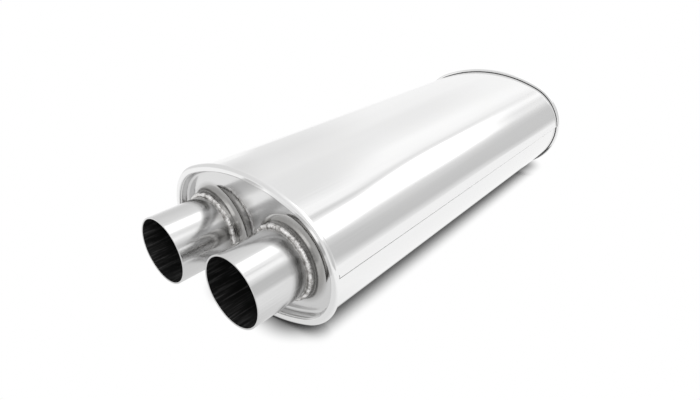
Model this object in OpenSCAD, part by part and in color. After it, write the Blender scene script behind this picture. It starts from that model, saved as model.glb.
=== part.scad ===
// Straight-through oval muffler with two pipes at each end.
// Its own frame: X across the body, Y from the front end (-Y) to the rear end (+Y), Z up.
// The origin lies on the ground under the middle of the body. All sizes are in millimetres.

/* [Body] */
// Width over the rolled rims
rim_w = 216; // [200:1:240]
// Height over the rolled rims
rim_h = 140; // [126:1:160]
// Length from rim face to rim face
body_len = 463; // [300:1:600]
// Thickness of the wrapped shell sheet
shell_t = 1.2; // [0.9:0.1:1.5]

/* [Rolled rims] */
// How far a rim stands proud of the shell
rim_proud = 3.6; // [3.4:0.1:4.6]
// Width of the lip that is folded over the cap
rim_face = 6.8; // [5.8:0.1:8]
// Outer radius between the lip and the rim's crest
roll_r = 3; // [2.6:0.1:3]
// Radius in the corner between the shell and the back of a rim
foot_r = 0.8; // [0.5:0.1:1]
// Depth of the small flat on the underside of a rim, on which the muffler rests
rest_flat = 0.3; // [0.2:0.1:0.6]

/* [Side seam] */
// Height of the upper sheet's edge above mid height
lap_z = 5; // [0:0.5:10]
// Part of a turn over which the upper sheet eases back to the shell's own surface, in degrees
lap_fade = 50; // [40:1:52]
// Distance of the upper sheet's corners from the rims
lap_gap = 0.6; // [0.2:0.1:6]

/* [End caps] */
// Thickness of the cap sheet
cap_t = 1.5; // [1.2:0.1:1.8]
// Depth of the recess floor behind the rim face
recess = 9.5; // [8.5:0.5:14]
// Distance from the folded lip's edge to the recess wall
wall_gap = 0.9; // [0.8:0.1:2]
// Outer radius of the bend between flange and recess wall
edge_r = 2; // [1.9:0.1:2.6]
// Inner radius between the recess wall and its floor
floor_r = 3; // [2:0.1:4]
// Outer radius between the floor and a drawn collar
collar_r = 7; // [5:0.5:8]
// How far the collars stand ahead of the rim face
collar_out = 0.5; // [0:0.5:6]

/* [Pipes] */
// Outer diameter of a neck pipe
pipe_od = 63.5; // [50.8:0.1:66]
// Wall of a neck pipe
pipe_t = 1.5; // [1.2:0.1:2]
// Distance between the axes of the two pipes
pipe_spacing = 96; // [92:1:102]
// How far a neck stands ahead of the rim face
pipe_out = 53; // [30:1:90]
// Radius of the weld bead's section
bead_r = 2.4; // [1.8:0.1:3]

/* [Cores] */
// Wall of a perforated core tube
core_t = 1.2; // [0.9:0.1:1.5]
// Space between the inside of a cap's floor and the end of a core
core_back = 3; // [2:0.5:8]
// Length of neck that a core slides over
neck_lap = 16; // [10:1:30]
// Diameter of a perforation
hole_d = 7; // [4:0.5:9]
// Perforations in one row round the tube, an even number
row_holes = 12; // [8:2:14]
// Distance from row to row
row_pitch = 14; // [11:0.5:24]
// Plain length between a neck's end and the nearest perforation
hole_margin = 6; // [3:0.5:15]
// Size of a tack weld between a core and its neck
tack_r = 1.6; // [1:0.1:1.8]
// Tack welds at each end of a core
tack_count = 3; // [2:1:6]
// Part of a turn that one tack weld covers, in degrees
tack_arc = 24; // [10:1:40]

/* [Packing] */
// Thickness of the steel wool round a core
wool_t = 5; // [3:0.5:7]

/* [Clearances] */
// Between the folded rim and the cap's flange
seam_gap = 0.1; // [0.05:0.05:0.3]
// Between a collar and its neck
collar_gap = 0.15; // [0.05:0.05:0.3]
// Between a core and the neck inside it
core_gap = 0.1; // [0.05:0.05:0.3]
// Round the wool and the fibre packing
pack_gap = 0.3; // [0.2:0.1:1]

/* [Hidden] */
// Facets of a full circle: body arcs, tubes, the small radii of a section, perforations
fn_body = 240;
fn_tube = 96;
fn_section = 32;
fn_hole = 20;
// How far cutting shapes run past what they cut
over = 1;

// The oval is four tangent arcs that meet on rays with this run and rise
ray = [5, 12];
arc_unit = (rim_w - rim_h) / 8;
end_x = ray[0] * arc_unit;
end_r = rim_h / 2 - arc_unit;
flat_y = ray[1] * arc_unit;
flat_r = rim_h / 2 + flat_y;

// A rim is the shell's flange, the cap's flange and the folded lip, pressed together
seat = shell_t + seam_gap;
rim_depth = 2 * seat + cap_t;
crest_r = rim_depth - roll_r;
foot_end = rim_depth + foot_r;
lap_start = foot_end + lap_gap;

wall_in = rim_face + wall_gap;
floor_in = wall_in + floor_r;
cap_back = recess + cap_t;

pipe_x = pipe_spacing / 2;
pipe_r = pipe_od / 2;
collar_in_r = pipe_r + collar_gap;
collar_foot_r = collar_in_r + cap_t + collar_r;

core_in_r = pipe_r + core_gap;
core_r = core_in_r + core_t;
core_start = cap_back + core_back;
neck_end = core_start + neck_lap;
core_half = body_len / 2 - core_start;
first_row = neck_end + hole_margin + hole_d / 2;
row_count = floor((body_len - 2 * first_row) / row_pitch) + 1;

wool_in_r = core_r + pack_gap;
wool_r = wool_in_r + wool_t;
wool_half = body_len / 2 - neck_end;
fibre_in = rim_proud + shell_t + pack_gap;
fibre_half = body_len / 2 - cap_back - pack_gap;

// Lays the muffler down: it is drawn standing on its rear end, with Y up through its height
module laid() {
    translate([0, 0, rim_h / 2 - rest_flat])
        rotate([90, 0, 0])
            children();
}

// Places what is drawn with Z as the depth behind a rim face; end is 1 in front, -1 behind
module at_end(end) {
    if (end > 0)
        translate([0, 0, body_len / 2])
            mirror([0, 0, 1])
                children();
    else
        translate([0, 0, -body_len / 2])
            children();
}

// The part of the plane that one arc of the oval lies in; side is 1 or -1
module end_sector(side) {
    reach = ray * rim_h / ray[1];
    polygon([
        [side * end_x, 0],
        [side * (end_x + reach[0]), -reach[1]],
        [side * (rim_w + reach[0]), -reach[1]],
        [side * (rim_w + reach[0]), reach[1]],
        [side * (end_x + reach[0]), reach[1]]
    ]);
}

module flat_sector(side) {
    reach = ray * rim_h / ray[1];
    polygon([
        [-end_x, 0],
        [end_x, 0],
        [end_x + reach[0], side * reach[1]],
        [-end_x - reach[0], side * reach[1]]
    ]);
}

// A filled oval, drawn inset from the rim's outline
module oval(inset) {
    for (side = [-1, 1]) {
        intersection() {
            translate([side * end_x, 0])
                circle(r = end_r - inset, $fn = fn_body);
            end_sector(side);
        }
        intersection() {
            translate([0, -side * flat_y])
                circle(r = flat_r - inset, $fn = fn_body);
            flat_sector(side);
        }
    }
}

// One turn of a section about the Z axis, kept within a sector and a range of heights
module arc_sweep(centre, radius, low, high) {
    intersection() {
        translate([centre[0], centre[1], 0])
            rotate_extrude($fn = fn_body)
                translate([radius, 0])
                    children(0);
        translate([0, 0, low])
            linear_extrude(high - low)
                children(1);
    }
}

// Sweeps a section round the oval: X is minus the inset from the rim's outline, Y the height
module oval_sweep(low, high) {
    for (side = [-1, 1]) {
        arc_sweep([side * end_x, 0], end_r, low, high) {
            children();
            end_sector(side);
        }
        arc_sweep([0, -side * flat_y], flat_r, low, high) {
            children();
            flat_sector(side);
        }
    }
}

// A band between two radii, kept within the fan that the listed directions span
module bend(centre, r_in, r_out, directions) {
    reach = 2 * r_out;
    translate(centre)
        intersection() {
            difference() {
                circle(r = r_out, $fn = fn_section);
                if (r_in > 0)
                    circle(r = r_in, $fn = fn_section);
            }
            polygon(concat([[0, 0]], [for (d = directions) reach * d]));
        }
}

module strip(x0, x1, y0, y1) {
    translate([x0, y0])
        square([x1 - x0, y1 - y0]);
}

// Shell sheet at one end: folded lip, crest, flange and the corner at its foot
module rim_section() {
    lip_x = -rim_face + shell_t;
    foot_x = foot_r - rim_proud;
    bend([lip_x, shell_t], 0, shell_t, [[-1, 0], [-1, -1], [0, -1]]);
    strip(lip_x, -roll_r, 0, shell_t);
    bend([-roll_r, roll_r], roll_r - shell_t, roll_r, [[0, -1], [1, -1], [1, 0]]);
    bend([-crest_r, roll_r], 0, crest_r, [[1, 0], [1, 1], [0, 1]]);
    strip(foot_x, -crest_r, rim_depth - shell_t, rim_depth);
    bend([foot_x, foot_end], foot_r, foot_r + shell_t, [[0, -1], [-1, -1], [-1, 0]]);
}

// Draws a section at the front end and its mirror image at the rear end
module both_ends() {
    children();
    translate([0, body_len])
        mirror([0, 1])
            children();
}

module shell_section() {
    both_ends()
        rim_section();
    strip(-rim_proud - shell_t, -rim_proud, foot_end, body_len - foot_end);
}

// The upper sheet's edge where it laps over the lower one, seen from the end: a crescent
// between the shell's own arc and the same arc moved outward
module lap_outline() {
    base_r = end_r - rim_proud;
    edge_turn = asin(lap_z / base_r);
    fade_turn = edge_turn + lap_fade;
    lift = shell_t / sin(lap_fade);
    translate([end_x, 0])
        intersection() {
            difference() {
                translate(lift * [sin(fade_turn), -cos(fade_turn)])
                    circle(r = base_r, $fn = fn_body);
                circle(r = base_r, $fn = fn_body);
            }
            polygon([
                [0, 0],
                rim_w * [cos(edge_turn), sin(edge_turn)],
                rim_w * [cos(fade_turn), sin(fade_turn)]
            ]);
        }
}

// What is taken off the underside of the rims, so that the muffler doesn't rock on their arcs
module ground() {
    translate([-rim_w / 2, -rim_h / 2 - over, -body_len / 2 - over])
        cube([rim_w, over + rest_flat, body_len + 2 * over]);
}

module outer_shell() {
    color("gainsboro")
        laid()
            difference() {
                at_end(1) {
                    oval_sweep(-over, body_len + over)
                        shell_section();
                    translate([0, 0, lap_start])
                        linear_extrude(body_len - 2 * lap_start)
                            lap_outline();
                }
                ground();
            }
}

// Cap sheet round its edge: flange inside the fold, recess wall and floor radius
module cap_section() {
    flange_x = edge_r - wall_in;
    intersection() {
        bend([-roll_r, roll_r], 0, roll_r - seat, [[0, -1], [1, -1], [1, 0]]);
        strip(-rim_face, 0, seat, seat + cap_t);
    }
    strip(flange_x, -roll_r, seat, seat + cap_t);
    bend([flange_x, seat + edge_r], edge_r - cap_t, edge_r, [[-1, 0], [-1, -1], [0, -1]]);
    strip(-wall_in, cap_t - wall_in, seat + edge_r, recess - floor_r);
    bend([-floor_in, recess - floor_r], floor_r, floor_r + cap_t, [[1, 0], [1, 1], [0, 1]]);
}

// Collar drawn out of the floor: X is the radius from the pipe's axis
module collar_section() {
    strip(collar_in_r, collar_in_r + cap_t, -collar_out, recess - collar_r);
    bend(
        [collar_foot_r, recess - collar_r], collar_r, collar_r + cap_t,
        [[-1, 0], [-1, 1], [0, 1]]
    );
}

module end_cap(end) {
    color("silver")
        laid()
            at_end(end) {
                oval_sweep(0, cap_back + over)
                    cap_section();
                translate([0, 0, recess])
                    linear_extrude(cap_t)
                        difference() {
                            oval(floor_in);
                            for (side = [-1, 1])
                                translate([side * pipe_x, 0])
                                    circle(r = collar_foot_r, $fn = fn_tube);
                        }
                for (side = [-1, 1])
                    translate([side * pipe_x, 0, 0])
                        rotate_extrude($fn = fn_tube)
                            collar_section();
            }
}

module tube(r_in, r_out, low, high) {
    translate([0, 0, low])
        linear_extrude(high - low)
            difference() {
                circle(r = r_out, $fn = fn_tube);
                circle(r = r_in, $fn = fn_tube);
            }
}

module neck(end, side) {
    color("lightgray")
        laid()
            at_end(end)
                translate([side * pipe_x, 0, 0])
                    tube(pipe_r - pipe_t, pipe_r, -pipe_out, neck_end);
}

// Bead on the end of a collar, all round the neck
module neck_weld(end, side) {
    color("darkgray")
        laid()
            at_end(end)
                translate([side * pipe_x, 0, 0])
                    rotate_extrude($fn = fn_tube)
                        intersection() {
                            translate([collar_in_r + cap_t / 2, -collar_out])
                                circle(r = bead_r, $fn = fn_section);
                            strip(pipe_r, pipe_r + 3 * bead_r, -collar_out - 2 * bead_r, -collar_out);
                        }
}

// Drills for one row of perforations, each through one wall of a core only
module row_drills(turn) {
    reach = core_t + 2 * over;
    for (i = [0 : row_holes - 1])
        rotate([0, 0, (i + turn) * 360 / row_holes])
            translate([core_in_r - over, 0, 0])
                rotate([0, 90, 0])
                    cylinder(d = hole_d, h = reach, $fn = fn_hole);
}

module core_tube(side) {
    color("slategray")
        laid()
            translate([side * pipe_x, 0, 0])
                difference() {
                    tube(core_in_r, core_r, -core_half, core_half);
                    for (row = [0 : row_count - 1])
                        translate([0, 0, (row - (row_count - 1) / 2) * row_pitch])
                            row_drills((row % 2) / 2);
                }
}

// Short fillets in the corner between a core's end and its neck
module core_tacks(end, side) {
    color("darkgray")
        laid()
            at_end(end)
                translate([side * pipe_x, 0, 0])
                    for (i = [0 : tack_count - 1])
                        rotate([0, 0, i * 360 / tack_count])
                            rotate_extrude(angle = tack_arc, $fn = fn_tube)
                                bend([pipe_r, core_start], 0, tack_r, [[1, 0], [1, -1], [0, -1]]);
}

module wool_wrap(side) {
    color("dimgray")
        laid()
            translate([side * pipe_x, 0, 0])
                tube(wool_in_r, wool_r, -wool_half, wool_half);
}

// Half of the fibre: it fills the shell from the side wall to the middle
module fibre_packing(side) {
    color("ivory")
        laid()
            translate([0, 0, -fibre_half])
                linear_extrude(2 * fibre_half)
                    difference() {
                        intersection() {
                            oval(fibre_in);
                            translate([side * (rim_w / 2 + pack_gap / 2), 0])
                                square([rim_w, 2 * rim_h], center = true);
                        }
                        translate([side * pipe_x, 0])
                            circle(r = wool_r + pack_gap, $fn = fn_tube);
                    }
}

outer_shell();
end_cap(1);  // front_end_cap
end_cap(-1);  // rear_end_cap
neck(1, -1);  // front_left_neck
neck(1, 1);  // front_right_neck
neck(-1, -1);  // rear_left_neck
neck(-1, 1);  // rear_right_neck
neck_weld(1, -1);  // front_left_weld
neck_weld(1, 1);  // front_right_weld
neck_weld(-1, -1);  // rear_left_weld
neck_weld(-1, 1);  // rear_right_weld
core_tube(-1);  // left_core_tube
core_tube(1);  // right_core_tube
core_tacks(1, -1);  // front_left_core_tacks
core_tacks(1, 1);  // front_right_core_tacks
core_tacks(-1, -1);  // rear_left_core_tacks
core_tacks(-1, 1);  // rear_right_core_tacks
wool_wrap(-1);  // left_wool_wrap
wool_wrap(1);  // right_wool_wrap
fibre_packing(-1);  // left_fibre_packing
fibre_packing(1);  // right_fibre_packing
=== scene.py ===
"""Looks of a straight-through oval muffler: polished body, pressed caps, neck pipes and weld beads.

Everything is in metres, in the part's own frame: X across, Y from the front end to the rear, Z up.
A section is drawn in two coordinates: the offset from the rim's outline (or the radius from a
pipe's axis) and the depth behind the rim face of its end.
"""
import math
import random

import bpy
from mathutils import Matrix, Vector, geometry


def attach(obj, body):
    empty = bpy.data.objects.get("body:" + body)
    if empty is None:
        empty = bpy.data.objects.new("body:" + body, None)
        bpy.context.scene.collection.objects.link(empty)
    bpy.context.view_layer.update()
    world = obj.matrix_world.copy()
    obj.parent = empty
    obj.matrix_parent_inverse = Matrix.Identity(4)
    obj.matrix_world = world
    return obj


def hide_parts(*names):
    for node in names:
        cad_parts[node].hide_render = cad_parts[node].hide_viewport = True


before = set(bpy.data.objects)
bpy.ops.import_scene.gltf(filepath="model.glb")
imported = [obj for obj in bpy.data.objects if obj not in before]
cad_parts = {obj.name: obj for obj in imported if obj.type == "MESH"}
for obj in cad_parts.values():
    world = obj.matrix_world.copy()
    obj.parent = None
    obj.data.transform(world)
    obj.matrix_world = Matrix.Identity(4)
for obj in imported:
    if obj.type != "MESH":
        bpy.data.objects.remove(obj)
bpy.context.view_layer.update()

MM = 0.001
ENDS = (("front", 1), ("rear", -1))
SIDES = (("left", -1), ("right", 1))

# Body and rolled rims
RIM_W = 216 * MM
RIM_H = 140 * MM
BODY_LEN = 463 * MM
SHELL_T = 1.2 * MM
RIM_PROUD = 3.6 * MM
RIM_FACE = 6.8 * MM
ROLL_R = 3 * MM
FOOT_R = 0.8 * MM
REST_FLAT = 0.3 * MM

# Side seam, where the upper sheet laps over the lower one
LAP_Z = 5 * MM
LAP_FADE = math.radians(50)
LAP_GAP = 0.6 * MM
# Painted shade: a dark strip under its edge narrows to the rear, and a dark nick that stands in for
# the shade of a gap crosses the edge near the front; both lie a little proud of the sheet
SHADE_STRIP_FRONT = 1.5 * MM
SHADE_STRIP_REAR = 1.1 * MM
NICK_SHADE_AT = 1.0 * MM
NICK_SHADE_W = 0.5 * MM
NICK_SHADE_STEPS = 2
PROUD = 0.02 * MM

# End caps
CAP_T = 1.5 * MM
RECESS = 9.5 * MM
WALL_GAP = 0.9 * MM
EDGE_R = 2 * MM
FLOOR_R = 3 * MM
COLLAR_R = 7 * MM
COLLAR_OUT = 0.5 * MM
SEAM_GAP = 0.1 * MM

# Neck pipes
PIPE_R = 31.75 * MM
PIPE_T = 1.5 * MM
PIPE_X = 48 * MM
PIPE_OUT = 53 * MM
NECK_END = 30 * MM
MOUTH_R = 0.35 * MM
COLLAR_GAP = 0.15 * MM

# Weld beads: the section's start and turn are in degrees, and its foot sinks into the neck
BEAD_R = 2.4 * MM
BEAD_START = -10
BEAD_TURN = 200
BEAD_STEPS = 14
BEAD_SINK = 0.1 * MM
# Ripples differ in size and place. Each rises from its foot to a ridge, and lags over the crown.
# A shift slides the section by these shares, outward and back
RIPPLES = 84
RIPPLE_STEPS = 5
RIPPLE_SIZES = (0.86, 1.12)
RIPPLE_SHIFT = 0.35 * MM
RIPPLE_LAG = 0.5
RIDGE_FOOT = 0.86
RIDGE_RISE = 0.16
SLIDE_OUT = 0.5
SLIDE_BACK = 0.4

# Steps of a sweep
END_STEPS = 96
FLAT_STEPS = 64
TUBE_STEPS = 192
WALL_STEPS = 24
ARC_STEPS = 12
MOUTH_STEPS = 5
# Corners join where they agree to a micrometre
JOINS_PER_M = 1e6

# The oval is four tangent arcs that meet on rays with slope 12 in 5
ARC_UNIT = (RIM_W - RIM_H) / 8
END_X = 5 * ARC_UNIT
END_R = RIM_H / 2 - ARC_UNIT
FLAT_Z = 12 * ARC_UNIT
FLAT_R = RIM_H / 2 + FLAT_Z
CORNER = math.atan2(12, 5)

# A rim is the shell's flange, the cap's flange and the folded lip, pressed together
SEAT = SHELL_T + SEAM_GAP
RIM_DEPTH = 2 * SEAT + CAP_T
CREST_R = RIM_DEPTH - ROLL_R
FOOT_END = RIM_DEPTH + FOOT_R
LAP_START = FOOT_END + LAP_GAP
LAP_TURN = math.asin(LAP_Z / (END_R - RIM_PROUD))
WALL_IN = RIM_FACE + WALL_GAP
FLOOR_IN = WALL_IN + FLOOR_R
COLLAR_IN_R = PIPE_R + COLLAR_GAP
COLLAR_FOOT_R = COLLAR_IN_R + CAP_T + COLLAR_R
MID_Z = RIM_H / 2 - REST_FLAT

# Camera, solved from the pipe mouths, rims and edges in the photograph
CAMERA_AT = (318.95 * MM, -455.1 * MM, 296.6 * MM)
CAMERA_AZIMUTH = 41.09
CAMERA_ELEVATION = 26.35
CAMERA_ROLL = -1.84
SENSOR = 36
IMAGE_W = 700
FOCAL_PX = 498.35
CLIP_START = 0.01
CLIP_END = 50


def make_camera():
    data = bpy.data.cameras.new("camera")
    data.sensor_width = SENSOR
    data.lens = SENSOR * FOCAL_PX / IMAGE_W
    data.clip_start = CLIP_START
    data.clip_end = CLIP_END
    camera = bpy.data.objects.new("camera", data)
    bpy.context.scene.collection.objects.link(camera)
    bpy.context.scene.camera = camera
    turn = math.radians(CAMERA_AZIMUTH)
    rise = math.radians(CAMERA_ELEVATION)
    back = Vector((
        math.sin(turn) * math.cos(rise),
        -math.cos(turn) * math.cos(rise),
        math.sin(rise),
    ))
    right = Vector((0, 0, 1)).cross(back).normalized()
    up = back.cross(right)
    matrix = Matrix((right, up, back)).transposed().to_4x4()
    roll = Matrix.Rotation(math.radians(CAMERA_ROLL), 4, "Z")
    camera.matrix_world = Matrix.Translation(CAMERA_AT) @ matrix @ roll


class Maker:
    """Collects faces with a normal at each corner, and joins corners that coincide."""

    def __init__(self):
        self.points = []
        self.index = {}
        self.faces = []
        self.normals = []
        self.slots = []

    def point(self, p):
        key = tuple(round(c * JOINS_PER_M) for c in p)
        if key not in self.index:
            self.index[key] = len(self.points)
            self.points.append(p)
        return self.index[key]

    def face(self, corners, normals, slot=0):
        ids = [self.point(p) for p in corners]
        kept = [i for i in range(len(ids)) if ids[i] != ids[i - 1]]
        if len(kept) < 3:
            return
        corners = [Vector(corners[i]) for i in kept]
        normals = [Vector(normals[i]) for i in kept]
        across = (corners[1] - corners[0]).cross(corners[2] - corners[0])
        if across.dot(sum(normals, Vector())) < 0:
            kept.reverse()
            normals.reverse()
        self.faces.append([ids[i] for i in kept])
        self.normals.extend(normals)
        self.slots.append(slot)

    def build(self, name, materials):
        mesh = bpy.data.meshes.new(name)
        mesh.from_pydata([tuple(p) for p in self.points], [], self.faces)
        for m in materials:
            mesh.materials.append(m)
        mesh.polygons.foreach_set("material_index", self.slots)
        mesh.polygons.foreach_set("use_smooth", [True] * len(mesh.polygons))
        mesh.normals_split_custom_set([n.normalized() for n in self.normals])
        mesh.update()
        obj = bpy.data.objects.new(name, mesh)
        bpy.context.scene.collection.objects.link(obj)
        return obj


def oval_frames():
    """Points round the rim's outline, each as (x, z, outward x, outward z).

    The first frame lies on the edge of the upper sheet, where the side seam is.
    """
    found = []
    arcs = (
        (END_X, 0, END_R, LAP_TURN, CORNER, END_STEPS // 2),
        (0, -FLAT_Z, FLAT_R, CORNER, math.pi - CORNER, FLAT_STEPS),
        (-END_X, 0, END_R, math.pi - CORNER, math.pi + CORNER, END_STEPS),
        (0, FLAT_Z, FLAT_R, math.pi + CORNER, 2 * math.pi - CORNER, FLAT_STEPS),
        (END_X, 0, END_R, -CORNER, LAP_TURN, END_STEPS // 2),
    )
    for cx, cz, r, start, end, steps in arcs:
        for i in range(steps):
            a = start + (end - start) * i / steps
            n = (math.cos(a), math.sin(a))
            found.append((cx + r * n[0], MID_Z + cz + r * n[1], n[0], n[1]))
    return found


def circle_frames(x):
    """Frames round a pipe's axis: the offset of a section is then a radius."""
    angles = [2 * math.pi * i / TUBE_STEPS for i in range(TUBE_STEPS)]
    return [(x, MID_Z, math.cos(a), math.sin(a)) for a in angles]


def line(p, q, normal):
    return [(*p, *normal), (*q, *normal)]


def arc(centre, r, start, end, facing=1, steps=ARC_STEPS):
    """Points on an arc in degrees; facing is 1 where the surface faces away from the centre."""
    run = []
    for i in range(steps + 1):
        a = math.radians(start + (end - start) * i / steps)
        c, s = math.cos(a), math.sin(a)
        run.append((centre[0] + r * c, centre[1] + r * s, facing * c, facing * s))
    return run


def flipped(runs):
    """The mirror image of runs that were drawn at the front end, at the rear end."""
    turned = [[(u, BODY_LEN - d, nu, -nd) for u, d, nu, nd in run[::-1]] for run in runs]
    return turned[::-1]


def sweep(maker, frames, runs, end, slots=None):
    """Sweeps the runs of a section round the frames; end is 1 in front and -1 behind.

    What would reach below the ground is the flat that the rims rest on.
    """
    def placed(f, s):
        x, z, nx, nz = f
        u, d, nu, nd = s
        depth = end * (d - BODY_LEN / 2)
        if z + u * nz < 0:
            return (x + u * nx, depth, 0), (0, 0, -1)
        return (x + u * nx, depth, z + u * nz), (nu * nx, end * nd, nu * nz)

    count = len(frames)
    for k, run in enumerate(runs):
        for s, t in zip(run, run[1:]):
            for j in range(count):
                f, g = frames[j], frames[(j + 1) % count]
                four = [placed(f, s), placed(g, s), placed(g, t), placed(f, t)]
                maker.face([p for p, n in four], [n for p, n in four], slots[k] if slots else 0)


def rim_runs():
    """Outer and inner surface of the shell sheet at one end: lip, crest, flange and foot."""
    lip_x = SHELL_T - RIM_FACE
    foot_x = FOOT_R - RIM_PROUD
    roll = (-ROLL_R, ROLL_R)
    foot = (foot_x, FOOT_END)
    inner_r = ROLL_R - SHELL_T
    back = RIM_DEPTH - SHELL_T
    turn = math.degrees(math.asin((ROLL_R - back) / inner_r))
    outside = [
        arc((lip_x, SHELL_T), SHELL_T, 180, 270),
        line((lip_x, 0), (-ROLL_R, 0), (0, -1)),
        arc(roll, ROLL_R, 270, 360),
        arc((-CREST_R, ROLL_R), CREST_R, 0, 90),
        line((-CREST_R, RIM_DEPTH), (foot_x, RIM_DEPTH), (0, 1)),
        arc(foot, FOOT_R, 270, 180, -1),
    ]
    inside = [
        line((-RIM_FACE, SHELL_T), (-ROLL_R, SHELL_T), (0, 1)),
        arc(roll, inner_r, 270, 360 - turn, -1),
        line((inner_r * math.cos(math.radians(turn)) - ROLL_R, back), (foot_x, back), (0, -1)),
        arc(foot, FOOT_R + SHELL_T, 270, 180),
    ]
    return outside, inside


def lap_lift(a):
    """How far the upper sheet stands off the shell's own surface, at an angle of the end arc."""
    share = min(1, max(0, (a - LAP_TURN) / LAP_FADE))
    return SHELL_T * (1 - share) ** 2


def add_wall(maker):
    """The wall between the rims, with the raised edge of the upper sheet along one side."""
    frames = oval_frames()
    count = len(frames)
    lifts = []
    for i in range(count + 1):
        on_arc = i <= END_STEPS // 2
        a = math.atan2(frames[i % count][3], frames[i % count][2])
        lifts.append(lap_lift(a) if on_arc else 0)
    front, rear = LAP_START, BODY_LEN - LAP_START
    steps = WALL_STEPS
    depths = [FOOT_END] + [front + (rear - front) * i / steps for i in range(steps + 1)]
    depths.append(BODY_LEN - FOOT_END)

    def placed(i, depth, lift):
        x, z, nx, nz = frames[i % count]
        u = lift - RIM_PROUD
        return (x + u * nx, depth - BODY_LEN / 2, z + u * nz)

    def normal(i, lifted):
        x, z, nx, nz = frames[i % count]
        slope = 0
        if lifted and lifts[i] > 0:
            slope = -2 * SHELL_T * (lifts[i] / SHELL_T) ** 0.5 / (LAP_FADE * (END_R - RIM_PROUD))
        return Vector((nx + slope * nz, 0, nz - slope * nx))

    def panel(i, near, far, low, high):
        return [placed(i, near, low), placed(i + 1, near, high),
                placed(i + 1, far, high), placed(i, far, low)]

    # The sheet itself, raised between the lap's ends
    for k, (near, far) in enumerate(zip(depths, depths[1:])):
        lifted = 0 < k < len(depths) - 2
        for i in range(count):
            low, high = (lifts[i], lifts[i + 1]) if lifted else (0, 0)
            here, there = normal(i, lifted), normal(i + 1, lifted)
            maker.face(panel(i, near, far, low, high), [here, there, there, here])
    # The lap's two ends and its edge
    for depth, facing in ((front, -1), (rear, 1)):
        for i in range(END_STEPS // 2):
            corners = [placed(i, depth, 0), placed(i + 1, depth, 0),
                       placed(i + 1, depth, lifts[i + 1]), placed(i, depth, lifts[i])]
            maker.face(corners, [Vector((0, facing, 0))] * 4)
    x, z, nx, nz = frames[0]
    down = Vector((nz, 0, -nx))
    corners = [placed(0, front, 0), placed(0, rear, 0),
               placed(0, rear, lifts[0]), placed(0, front, lifts[0])]
    maker.face(corners, [down] * 4)
    # The painted shade strip under the edge
    strip = []
    for i in range(steps + 1):
        top = Vector(placed(0, front + (rear - front) * i / steps, PROUD))
        width = SHADE_STRIP_FRONT + (SHADE_STRIP_REAR - SHADE_STRIP_FRONT) * i / steps
        strip.append((top, top + width * down))
    for a, b in zip(strip, strip[1:]):
        maker.face([a[0], b[0], b[1], a[1]], [Vector((nx, 0, nz))] * 4, 1)
    # The nick across the edge, painted as the shade of a gap
    near, far = front + NICK_SHADE_AT, front + NICK_SHADE_AT + NICK_SHADE_W
    for i in range(NICK_SHADE_STEPS):
        corners = panel(i, near, far, lifts[i] + PROUD, lifts[i + 1] + PROUD)
        maker.face(corners, [normal(i, True), normal(i + 1, True)] * 2, 1)


def cap_runs():
    flange_x = EDGE_R - WALL_IN
    bend_at = (flange_x, SEAT + EDGE_R)
    foot_at = (-FLOOR_IN, RECESS - FLOOR_R)
    edge_r = ROLL_R - SEAT
    turn = math.degrees(math.asin((ROLL_R - SEAT - CAP_T) / edge_r))
    edge_x = edge_r * math.cos(math.radians(turn)) - ROLL_R
    front = [
        arc((-ROLL_R, ROLL_R), edge_r, 360 - turn, 270),
        line((-ROLL_R, SEAT), (flange_x, SEAT), (0, -1)),
        arc(bend_at, EDGE_R, 270, 180),
        line((-WALL_IN, SEAT + EDGE_R), (-WALL_IN, RECESS - FLOOR_R), (-1, 0)),
        arc(foot_at, FLOOR_R, 0, 90, -1),
    ]
    back = [
        arc(foot_at, FLOOR_R + CAP_T, 90, 0),
        line((CAP_T - WALL_IN, RECESS - FLOOR_R), (CAP_T - WALL_IN, SEAT + EDGE_R), (1, 0)),
        arc(bend_at, EDGE_R - CAP_T, 180, 270, -1),
        line((flange_x, SEAT + CAP_T), (edge_x, SEAT + CAP_T), (0, 1)),
    ]
    return front + back


def collar_runs():
    at = (COLLAR_FOOT_R, RECESS - COLLAR_R)
    out_r = COLLAR_IN_R + CAP_T
    return [
        arc(at, COLLAR_R, 90, 180, -1, 2 * ARC_STEPS),
        line((out_r, RECESS - COLLAR_R), (out_r, -COLLAR_OUT), (1, 0)),
        line((out_r, -COLLAR_OUT), (COLLAR_IN_R, -COLLAR_OUT), (0, -1)),
        line((COLLAR_IN_R, -COLLAR_OUT), (COLLAR_IN_R, RECESS - COLLAR_R), (-1, 0)),
        arc(at, COLLAR_R + CAP_T, 180, 90, 1, 2 * ARC_STEPS),
    ]


def add_floor(maker, end):
    """The flat floor between the cap's rim and its two collars, front and back."""
    rim = [Vector((x - FLOOR_IN * nx, z - FLOOR_IN * nz, 0)) for x, z, nx, nz in oval_frames()]
    loops = [rim]
    for side in (-1, 1):
        loops.append([
            Vector((x + COLLAR_FOOT_R * nx, z + COLLAR_FOOT_R * nz, 0))
            for x, z, nx, nz in circle_frames(side * PIPE_X)
        ])
    points = [p for loop in loops for p in loop]
    for depth, facing in ((RECESS, -1), (RECESS + CAP_T, 1)):
        y = end * (depth - BODY_LEN / 2)
        normal = Vector((0, end * facing, 0))
        for triangle in geometry.tessellate_polygon(loops):
            corners = [(points[i].x, y, points[i].y) for i in triangle]
            maker.face(corners, [normal] * 3)


def make_shell(materials):
    maker = Maker()
    outside, inside = rim_runs()
    inner = RIM_PROUD + SHELL_T
    lining = line((-inner, FOOT_END), (-inner, BODY_LEN - FOOT_END), (-1, 0))
    runs = [*outside, *flipped(outside), *inside, lining, *flipped(inside)]
    # The corner at the foot of each rim is painted dark as shade
    slots = [0] * len(runs)
    slots[len(outside) - 1] = slots[len(outside)] = 1
    sweep(maker, oval_frames(), runs, 1, slots)
    add_wall(maker)
    return maker.build("shell", materials)


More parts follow.
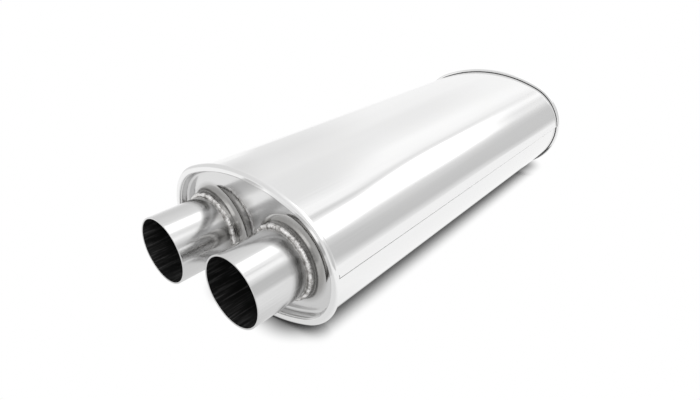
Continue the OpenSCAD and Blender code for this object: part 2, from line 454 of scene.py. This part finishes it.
def make_cap(name, end, materials):
    maker = Maker()
    sweep(maker, oval_frames(), cap_runs(), end)
    add_floor(maker, end)
    for side in (-1, 1):
        sweep(maker, circle_frames(side * PIPE_X), collar_runs(), end)
    return maker.build(name, materials)


def neck_runs():
    bore = PIPE_R - PIPE_T
    lip = -PIPE_OUT + MOUTH_R
    return [
        line((PIPE_R, NECK_END), (PIPE_R, lip), (1, 0)),
        arc((PIPE_R - MOUTH_R, lip), MOUTH_R, 0, -90, 1, MOUTH_STEPS),
        line((PIPE_R - MOUTH_R, -PIPE_OUT), (bore + MOUTH_R, -PIPE_OUT), (0, -1)),
        arc((bore + MOUTH_R, lip), MOUTH_R, -90, -180, 1, MOUTH_STEPS),
        line((bore, lip), (bore, NECK_END), (-1, 0)),
        line((bore, NECK_END), (PIPE_R, NECK_END), (0, 1)),
    ]


def make_neck(name, end, side, materials):
    maker = Maker()
    sweep(maker, circle_frames(side * PIPE_X), neck_runs(), end, (0, 0, 0, 0, 1, 1))
    return maker.build(name, materials)


def make_weld(name, end, side, materials, seed):
    """A hand-laid bead: overlapping crescents of uneven size round the collar's lip."""
    draw = random.Random(seed)
    sizes = [draw.uniform(*RIPPLE_SIZES) for i in range(RIPPLES)]
    shifts = [draw.uniform(-RIPPLE_SHIFT, RIPPLE_SHIFT) for i in range(RIPPLES)]
    rings = RIPPLES * RIPPLE_STEPS
    centre_r = COLLAR_IN_R + CAP_T / 2

    def placed(j, u, d):
        a = 2 * math.pi * j / rings
        y = end * (d - BODY_LEN / 2)
        return Vector((side * PIPE_X + u * math.cos(a), y, MID_Z + u * math.sin(a)))

    def surface(j, k):
        b = math.radians(BEAD_START + BEAD_TURN * k / BEAD_STEPS)
        phase = j / RIPPLE_STEPS + RIPPLE_LAG * math.sin(math.pi * k / BEAD_STEPS)
        cell = int(phase) % RIPPLES
        part = phase - int(phase)
        following = (cell + 1) % RIPPLES
        swell = sizes[cell] * (1 - part) + sizes[following] * part
        slide = shifts[cell] * (1 - part) + shifts[following] * part
        r = BEAD_R * swell * (RIDGE_FOOT + RIDGE_RISE * math.sqrt(part))
        u = max(centre_r + SLIDE_OUT * slide + r * math.cos(b), PIPE_R - BEAD_SINK)
        return placed(j, u, SLIDE_BACK * slide - COLLAR_OUT - r * math.sin(b))

    grid = [[surface(j, k) for k in range(BEAD_STEPS + 1)] for j in range(rings)]

    def normal(j, k):
        across = grid[j][min(BEAD_STEPS, k + 1)] - grid[j][max(0, k - 1)]
        n = (grid[(j + 1) % rings][k] - grid[j - 1][k]).cross(across)
        outward = grid[j][k] - placed(j, centre_r, -COLLAR_OUT)
        if n.length == 0:
            return outward.normalized()
        return n.normalized() if n.dot(outward) >= 0 else -n.normalized()

    normals = [[normal(j, k) for k in range(BEAD_STEPS + 1)] for j in range(rings)]
    maker = Maker()
    for j in range(rings):
        m = (j + 1) % rings
        for k in range(BEAD_STEPS):
            cells = ((j, k), (m, k), (m, k + 1), (j, k + 1))
            maker.face([grid[a][b] for a, b in cells], [normals[a][b] for a, b in cells])
        seat = [grid[j][0], grid[m][0], grid[m][BEAD_STEPS], grid[j][BEAD_STEPS]]
        maker.face(seat, [Vector((0, end, 0))] * 4)
    return maker.build(name, materials)


class Nodes:
    """A short way to write a material's or the world's node tree."""

    def __init__(self, owner):
        owner.use_nodes = True
        self.tree = owner.node_tree
        self.tree.nodes.clear()

    def add(self, kind, **settings):
        node = self.tree.nodes.new(kind)
        for key, value in settings.items():
            setattr(node, key, value)
        return node

    def link(self, source, target):
        self.tree.links.new(source, target)

    def feed(self, target, value):
        if isinstance(value, bpy.types.NodeSocket):
            self.link(value, target)
        else:
            target.default_value = value

    def math(self, operation, *values):
        node = self.add("ShaderNodeMath", operation=operation)
        for target, value in zip(node.inputs, values):
            self.feed(target, value)
        return node.outputs[0]

    def hypot(self, a, b):
        squares = self.math("MULTIPLY", a, a), self.math("MULTIPLY", b, b)
        return self.math("SQRT", self.math("ADD", *squares))

    def noise(self, where, scale, stretch, detail, roughness=0.5):
        mapping = self.add("ShaderNodeMapping")
        mapping.inputs["Scale"].default_value = stretch
        self.link(where, mapping.inputs["Vector"])
        node = self.add("ShaderNodeTexNoise")
        self.link(mapping.outputs[0], node.inputs["Vector"])
        node.inputs["Scale"].default_value = scale
        node.inputs["Detail"].default_value = detail
        node.inputs["Roughness"].default_value = roughness
        return node.outputs["Fac"]

    def spread(self, value, low, high, to_low, to_high):
        """Maps low..high smoothly to to_low..to_high."""
        node = self.add("ShaderNodeMapRange", interpolation_type="SMOOTHSTEP")
        self.feed(node.inputs["Value"], value)
        limits = {"From Min": low, "From Max": high, "To Min": to_low, "To Max": to_high}
        for key, number in limits.items():
            self.feed(node.inputs[key], number)
        return node.outputs[0]

    def mix(self, share, a, b):
        node = self.add("ShaderNodeMix", data_type="RGBA")
        self.feed(node.inputs[0], share)
        self.feed(node.inputs[6], a)
        self.feed(node.inputs[7], b)
        return node.outputs[2]

    def place(self):
        return self.add("ShaderNodeTexCoord").outputs["Object"]

    def axes(self, where):
        node = self.add("ShaderNodeSeparateXYZ")
        self.link(where, node.inputs[0])
        return node.outputs

    def bump(self, height, distance, normal=None):
        node = self.add("ShaderNodeBump")
        node.inputs["Strength"].default_value = 1
        node.inputs["Distance"].default_value = distance
        self.link(height, node.inputs["Height"])
        if normal is not None:
            self.link(normal, node.inputs["Normal"])
        return node.outputs[0]

    def principled(self, metallic, **inputs):
        shader = self.add("ShaderNodeBsdfPrincipled")
        shader.inputs["Metallic"].default_value = metallic
        for key, value in inputs.items():
            self.feed(shader.inputs[key.replace("_", " ")], value)
        return shader

    def finish(self, shader):
        output = self.add("ShaderNodeOutputMaterial")
        self.link(shader.outputs[0], output.inputs[0])


def grey(value, tint=(1, 1, 1)):
    return (value * tint[0], value * tint[1], value * tint[2], 1)


# Noises: scale, stretch along X, Y and Z, detail, and roughness where it isn't 0.5.
# Those that are stretched give lines along the muffler.
STREAKS = (1.0, (900, 6, 900), 3, 0.6)
CLOUDS = (24.0, (1, 1, 1), 2)
RAGGED = (1.0, (90, 20, 90), 2)
# Mottle of the painted seam shade
SEAM_SHADE_MOTTLE = (300.0, (1, 1, 1), 2)
WELD_PATCHES = (260.0, (1, 1, 1), 3, 0.6)
WELD_GRAIN = (700.0, (1, 1, 1), 2)
BORE_LINES = (1.0, (900, 30, 900), 2, 0.6)
MILL_LINES = (1.0, (500, 8, 500), 2)
WOOL_STRANDS = (700.0, (1, 0.25, 1), 4, 0.7)
GLASS_STRANDS = (400.0, (1, 0.25, 1), 4, 0.7)
# Nearly all of a noise lies in this range
NOISE_RANGE = (0.3, 0.7)

# Clouds warm the metal to this share of the tint
WARM = (1.0, 0.995, 0.99)
WARM_SHARE = 0.5
# Share of the streaks in the roughness, and how far the roughness varies
STREAK_SHARE = 0.6
SMOOTHER = 0.8
ROUGHER = 1.25

# Weld heat tint and painted shade towards the joins: what they leave of the metal's level, their
# tint and their streaks. They fade out with the distance ahead of the rim face on a pipe, and from
# the pipe's axis on a cap
HEAT_SHADE_LEVEL = 0.5
HEAT_SHADE_TINT = (1.0, 0.985, 0.96)
HEAT_SHADE_STREAK = 0.2
PIPE_HEAT_SHADE = 0.8
PIPE_HEAT_SHADE_FADE = (2 * MM, 15 * MM)
PIPE_HEAT_SHADE_RAGGED = 12 * MM
CAP_HEAT_SHADE_FADE = (35 * MM, 44 * MM)

# Where patches, lines or strands turn from the one tone to the other
WELD_SPLIT = (0.4, 0.65)
WELD_ROUGH_SPLIT = (0.35, 0.65)
BORE_SPLIT = (0.5, 0.72)
STRAND_SPLIT = (0.35, 0.65)
# Height of the fine relief
WELD_RELIEF = 0.3 * MM
BORE_RELIEF = 0.1 * MM
STRAND_RELIEF = 0.8 * MM

# Levels and tints from dark to light
# Levels of the painted seam shade
SEAM_SHADE_LEVELS = (0.015, 0.06)
# The bore's near-black levels are painted shade
BORE_SHADE_LEVELS = (0.006, 0.075)
MILL_LEVELS = (0.16, 0.26)
WOOL_LEVELS = (0.03, 0.22)
WELD_DULL = (0.42, (1, 0.97, 0.94))
WELD_BRIGHT = (0.95, (1, 0.99, 0.98))
GLASS_DARK = (0.5, (1, 0.97, 0.88))
GLASS_LIGHT = (0.86, (1, 0.98, 0.92))


def new_material(name):
    material = bpy.data.materials.new(name)
    return material, Nodes(material)


def polished_steel(name, level, rough, wave, streak=0, grain=0.03, heat_and_shade=None):
    """Polished sheet or tube: faint lengthwise streaks and a slow waviness in the reflection.

    heat(n) gives 0 where the metal is as polished and 1 where weld heat has dulled it and painted
    shade darkens it.
    """
    material, n = new_material(name)
    streaks = n.noise(n.place(), *STREAKS)
    clouds = n.noise(n.place(), *CLOUDS)
    tone = n.mix(streaks, grey(level * (1 - grain)), grey(level * (1 + grain)))
    tone = n.mix(n.spread(clouds, *NOISE_RANGE, 0, WARM_SHARE), tone, grey(level, WARM))
    # Weld heat tint and painted shade darken the metal towards the joins
    if heat_and_shade:
        dulled_and_shaded = level * HEAT_SHADE_LEVEL
        dark = grey(dulled_and_shaded * (1 - HEAT_SHADE_STREAK), HEAT_SHADE_TINT)
        light = grey(dulled_and_shaded * (1 + HEAT_SHADE_STREAK), HEAT_SHADE_TINT)
        tone = n.mix(heat_and_shade(n), tone, n.mix(streaks, dark, light))
    share = n.math("MULTIPLY", clouds, 1 - STREAK_SHARE)
    share = n.math("MULTIPLY_ADD", streaks, STREAK_SHARE, share)
    roughness = n.spread(share, *NOISE_RANGE, rough * SMOOTHER, rough * ROUGHER)
    normal = n.bump(clouds, wave)
    if streak > 0:
        normal = n.bump(streaks, streak, normal)
    n.finish(n.principled(1.0, Base_Color=tone, Roughness=roughness, Normal=normal))
    return material


def heat_and_shade_on_pipe(n):
    """Heat tint and painted shade of a neck, strongest at the bead and gone a finger's width further
    out.
    """
    out = n.math("SUBTRACT", n.math("ABSOLUTE", n.axes(n.place())[1]), BODY_LEN / 2)
    ragged = n.noise(n.place(), *RAGGED)
    shift = n.math("MULTIPLY_ADD", ragged, PIPE_HEAT_SHADE_RAGGED, -PIPE_HEAT_SHADE_RAGGED / 2)
    return n.spread(n.math("ADD", out, shift), *PIPE_HEAT_SHADE_FADE, PIPE_HEAT_SHADE, 0)


def heat_and_shade_on_cap(n):
    """Heat tint and painted shade of a cap, strongest on the collars."""
    x, y, z = n.axes(n.place())
    x = n.math("SUBTRACT", n.math("ABSOLUTE", x), PIPE_X)
    radius = n.hypot(x, n.math("SUBTRACT", z, MID_Z))
    return n.spread(radius, *CAP_HEAT_SHADE_FADE, 1, 0)


def painted_crevice_shade(name):
    """Painted shade for seams and corners: near-black and rough, with a faint mottle."""
    material, n = new_material(name)
    tone = n.mix(n.noise(n.place(), *SEAM_SHADE_MOTTLE), *map(grey, SEAM_SHADE_LEVELS))
    n.finish(n.principled(0.0, Base_Color=tone, Roughness=0.8))
    return material


def weld_metal(name):
    """Bright rippled bead with dull and straw-coloured patches between the crests."""
    material, n = new_material(name)
    patches = n.noise(n.place(), *WELD_PATCHES)
    share = n.spread(patches, *WELD_SPLIT, 0, 1)
    tone = n.mix(share, grey(*WELD_BRIGHT), grey(*WELD_DULL))
    roughness = n.spread(patches, *WELD_ROUGH_SPLIT, 0.5, 0.38)
    normal = n.bump(n.noise(n.place(), *WELD_GRAIN), WELD_RELIEF)
    n.finish(n.principled(1.0, Base_Color=tone, Roughness=roughness, Normal=normal))
    return material


def painted_bore_shade(name):
    """Inside of a neck: near-black painted shade with lengthwise lines."""
    material, n = new_material(name)
    lines = n.noise(n.place(), *BORE_LINES)
    tone = n.mix(n.spread(lines, *BORE_SPLIT, 0, 1), *map(grey, BORE_SHADE_LEVELS))
    roughness = n.spread(lines, *NOISE_RANGE, 0.35, 0.6)
    normal = n.bump(lines, BORE_RELIEF)
    n.finish(n.principled(0.0, Base_Color=tone, Roughness=roughness, Normal=normal))
    return material


def core_steel(name):
    """Unpolished mill-finish tube."""
    material, n = new_material(name)
    lines = n.noise(n.place(), *MILL_LINES)
    tone = n.mix(lines, *map(grey, MILL_LEVELS))
    roughness = n.spread(lines, *NOISE_RANGE, 0.4, 0.6)
    n.finish(n.principled(1.0, Base_Color=tone, Roughness=roughness))
    return material


def fibre(name, dark, light, strands):
    """Tangled strands, for steel wool or glass fibre."""
    material, n = new_material(name)
    tangle = n.noise(n.place(), *strands)
    tone = n.mix(n.spread(tangle, *STRAND_SPLIT, 0, 1), dark, light)
    normal = n.bump(tangle, STRAND_RELIEF)
    n.finish(n.principled(0.0, Base_Color=tone, Roughness=0.85, Normal=normal))
    return material


# Studio: brightness by the angle round the muffler's axis, in degrees from +X over the top.
# What a surface reflects also runs ahead of it, so the rear end sees other light than the pipes:
# each list holds for reflections that run this far along Y for one unit across.
SKY_PIPES = (
    (-180, 1.0), (-20, 1.0), (-10, 0.95), (0, 0.7), (24, 0.7), (36, 0.95), (44, 1.1), (48, 1.35),
    (53, 1.1), (61, 0.97), (68, 1.1), (73, 1.7), (98, 1.7), (103, 1.0), (120, 0.9), (140, 0.84),
    (160, 0.78), (180, 0.9),
)
SKY_NEAR = (
    (-180, 0.86), (-30, 0.95), (-12, 0.95), (-5, 0.85), (3, 0.6), (25, 0.63), (34, 0.76), (39, 1.0),
    (43, 1.6), (66, 1.6), (71, 0.95), (77, 0.72), (81, 0.8), (88, 1.04), (98, 1.06), (107, 0.9),
    (114, 0.87), (130, 0.88), (136, 0.92), (160, 0.84), (180, 0.86),
)
SKY_MID = (
    (-180, 0.96), (-30, 0.95), (-12, 0.88), (-5, 0.8), (2, 0.62), (22, 0.65), (32, 0.74), (39, 0.84),
    (44, 1.05), (49, 1.6), (69, 1.6), (73, 1.0), (78, 0.84), (82, 0.95), (90, 1.07), (108, 1.1),
    (118, 1.02), (132, 0.94), (142, 0.93), (150, 0.98), (180, 0.98),
)
SKY_FAR = (
    (-180, 0.98), (-30, 0.95), (-12, 0.88), (-6, 0.72), (0, 0.64), (30, 0.65), (38, 0.7), (46, 0.81),
    (54, 0.95), (62, 1.07), (68, 1.09), (74, 0.98), (80, 0.94), (84, 1.0), (92, 1.08), (108, 1.06),
    (124, 1.02), (180, 1.0),
)
SKY_FRONT = (
    (-180, 0.8), (-150, 0.85), (-100, 0.9), (-20, 0.7), (-5, 0.62), (20, 0.62), (35, 0.8), (42, 1.5),
    (78, 1.5), (84, 1.15), (100, 1.0), (112, 0.85), (135, 0.78), (180, 0.78),
)
SKY_AHEAD = 0.84
PIPES_TO_NEAR = (0.64, 0.72)
NEAR_TO_MID = (0.8, 1.2)
MID_TO_FAR = (1.4, 2.0)
FRONT_BELOW = (0, 0.3)
AHEAD_BELOW = (-0.85, -0.65)
# The gap beside the main light lies further round for what runs further ahead
GAP_SHIFT = 16
GAP_SHIFT_AT = (0.85, 1.4)
GAP_RISE = (50, 70)
GAP_FALL = (100, 120)
# The bands of light waver by this many degrees either way
WAVER = 5
WAVER_NOISE = (5.0, (1, 1, 1), 1)
LEAST_ACROSS = 0.001
SKY_TOP = 1.7


def make_world():
    world = bpy.data.worlds.new("studio")
    bpy.context.scene.world = world
    n = Nodes(world)
    where = n.add("ShaderNodeTexCoord").outputs["Generated"]
    x, y, z = n.axes(where)
    around = n.math("ARCTAN2", z, x)
    plain = n.math("MULTIPLY_ADD", around, 0.5 / math.pi, 0.5)
    waver = n.noise(where, *WAVER_NOISE)
    plain = n.math("ADD", plain, n.math("MULTIPLY_ADD", waver, WAVER / 180, -WAVER / 360))
    along = n.math("DIVIDE", y, n.math("MAXIMUM", n.hypot(x, z), LEAST_ACROSS))

    def turn(angle):
        return (angle + 180) / 360

    rise = n.spread(plain, turn(GAP_RISE[0]), turn(GAP_RISE[1]), 0, 1)
    fall = n.spread(plain, turn(GAP_FALL[0]), turn(GAP_FALL[1]), 1, 0)
    shift = n.spread(along, *GAP_SHIFT_AT, 0, GAP_SHIFT / 360)
    share = n.math("SUBTRACT", plain, n.math("MULTIPLY", shift, n.math("MULTIPLY", rise, fall)))

    def ramp(levels):
        node = n.add("ShaderNodeValToRGB")
        n.link(share, node.inputs[0])
        stops = node.color_ramp.elements
        for i, (angle, level) in enumerate(levels):
            at = turn(angle)
            stop = stops[i] if i < 2 else stops.new(at)
            stop.position = at
            stop.color = grey(level / SKY_TOP)
        return node.outputs[0]

    def background(colour, strength):
        node = n.add("ShaderNodeBackground")
        n.feed(node.inputs[0], colour)
        node.inputs[1].default_value = strength
        return node.outputs[0]

    tone = ramp(SKY_PIPES)
    further = ((PIPES_TO_NEAR, SKY_NEAR), (NEAR_TO_MID, SKY_MID), (MID_TO_FAR, SKY_FAR))
    for span, levels in further:
        tone = n.mix(n.spread(along, *span, 0, 1), tone, ramp(levels))
    tone = n.mix(n.spread(y, *FRONT_BELOW, 1, 0), tone, ramp(SKY_FRONT))
    tone = n.mix(n.spread(y, *AHEAD_BELOW, 1, 0), tone, grey(SKY_AHEAD / SKY_TOP))
    path = n.add("ShaderNodeLightPath")
    mixed = n.add("ShaderNodeMixShader")
    n.link(path.outputs["Is Camera Ray"], mixed.inputs[0])
    n.link(background(tone, SKY_TOP), mixed.inputs[1])
    n.link(background(grey(1), 1), mixed.inputs[2])
    output = n.add("ShaderNodeOutputWorld")
    n.link(mixed.outputs[0], output.inputs[0])


# The paper: its corners, its own level, and the shade right under the muffler, which ends
# where the occlusion leaves this much light
TABLE = ((-0.8, -0.6), (0.6, 0.9))
PAPER = 0.8
SHADE_DARK = 0.03
SHADE_REACH = 25 * MM
SHADE_SAMPLES = 24
SHADE_EDGE = (0.27, 0.86)
# The soft shadow: a rounded strip under the body, longer behind than in front
STRIP_MID_Y = 19 * MM
STRIP_HALF = (34 * MM, 221 * MM)
STRIP_EDGE = (20 * MM, 54 * MM)
# What the metal sees of the paper is dimmer right in front of the muffler
DIM_AT = (-0.02, -0.33)
DIM_REACH = (0.1, 0.24)
DIM_LEVEL = 0.8


def make_floor():
    mesh = bpy.data.meshes.new("floor")
    (left, front), (right, back) = TABLE
    corners = [(left, front, 0), (right, front, 0), (right, back, 0), (left, back, 0)]
    mesh.from_pydata(corners, [], [(0, 1, 2, 3)])
    floor = bpy.data.objects.new("floor", mesh)
    bpy.context.scene.collection.objects.link(floor)
    material, n = new_material("floor_paper")
    x, y, z = n.axes(n.place())

    def beyond(value, half):
        return n.math("MAXIMUM", n.math("SUBTRACT", n.math("ABSOLUTE", value), half), 0)

    aside = beyond(x, STRIP_HALF[0])
    past_end = beyond(n.math("SUBTRACT", y, STRIP_MID_Y), STRIP_HALF[1])
    strip = n.spread(n.hypot(aside, past_end), *STRIP_EDGE, SHADE_DARK, 1)
    shade = n.add("ShaderNodeAmbientOcclusion", samples=SHADE_SAMPLES)
    shade.inputs["Distance"].default_value = SHADE_REACH
    near = n.spread(shade.outputs["AO"], *SHADE_EDGE, SHADE_DARK, 1)
    off = n.hypot(n.math("SUBTRACT", x, DIM_AT[0]), n.math("SUBTRACT", y, DIM_AT[1]))
    dim = n.spread(off, *DIM_REACH, DIM_LEVEL, 1)
    path = n.add("ShaderNodeLightPath")
    # Seen in the metal, the paper has the dim spot instead of the strip
    strip = n.math("MAXIMUM", strip, path.outputs["Is Glossy Ray"])
    dim = n.math("MULTIPLY_ADD", path.outputs["Is Glossy Ray"], n.math("SUBTRACT", dim, 1), 1)
    seen = n.add("ShaderNodeEmission")
    n.link(n.math("MULTIPLY", n.math("MINIMUM", strip, near), dim), seen.inputs[1])
    plain = n.add("ShaderNodeBsdfDiffuse")
    plain.inputs[0].default_value = grey(PAPER)
    direct = n.math("MAXIMUM", path.outputs["Is Camera Ray"], path.outputs["Is Glossy Ray"])
    direct = n.math("MAXIMUM", direct, path.outputs["Is Transmission Ray"])
    mixed = n.add("ShaderNodeMixShader")
    n.link(direct, mixed.inputs[0])
    n.link(plain.outputs[0], mixed.inputs[1])
    n.link(seen.outputs[0], mixed.inputs[2])
    n.finish(mixed)
    mesh.materials.append(material)


def stand_in(piece, node):
    """A finer piece for a CAD node of the same form."""
    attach(piece, "root")
    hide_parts(node)


def dress(nodes, names, material):
    for name in names:
        mesh = nodes[name].data
        mesh.materials.clear()
        mesh.materials.append(material)


make_camera()

shell_steel = polished_steel("shell_steel", 0.875, 0.09, 0.06 * MM)
# Painted shade for the strip under the lap's edge, the nick and the corners at the rims' feet
seam_shade = painted_crevice_shade("seam_shade")
# Caps and necks get weld heat tint and painted shade towards their joins
cap_steel = polished_steel("cap_steel", 0.72, 0.13, 0.04 * MM, heat_and_shade=heat_and_shade_on_cap)
pipe_steel = polished_steel("pipe_steel", 0.72, 0.15, 0.02 * MM, 0.003 * MM, 0.09, heat_and_shade_on_pipe)
# The inside of each neck is painted near-black as shade
bore_painted_shade = painted_bore_shade("bore_painted_shade")
bead = weld_metal("bead")

stand_in(make_shell([shell_steel, seam_shade]), "outer_shell")
for end_name, end in ENDS:
    node = f"{end_name}_end_cap"
    stand_in(make_cap(f"{end_name}_cap", end, [cap_steel]), node)
    for side_name, side in SIDES:
        label = f"{end_name}_{side_name}"
        neck = make_neck(f"{label}_pipe", end, side, [pipe_steel, bore_painted_shade])
        stand_in(neck, f"{label}_neck")
        seed = 7 + 2 * end + side
        weld = make_weld(f"{label}_bead", end, side, [bead], seed)
        stand_in(weld, f"{label}_weld")

dress(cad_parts, ("left_core_tube", "right_core_tube"), core_steel("core_steel"))
tack_nodes = [f"{e}_{s}_core_tacks" for e, _ in ENDS for s, _ in SIDES]
dress(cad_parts, tack_nodes, bead)
wool = fibre("steel_wool", *map(grey, WOOL_LEVELS), WOOL_STRANDS)
dress(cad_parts, ("left_wool_wrap", "right_wool_wrap"), wool)
glass = fibre("glass_fibre", grey(*GLASS_DARK), grey(*GLASS_LIGHT), GLASS_STRANDS)
dress(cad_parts, ("left_fibre_packing", "right_fibre_packing"), glass)

make_world()
make_floor()
bpy.context.scene.view_settings.view_transform = "Standard"
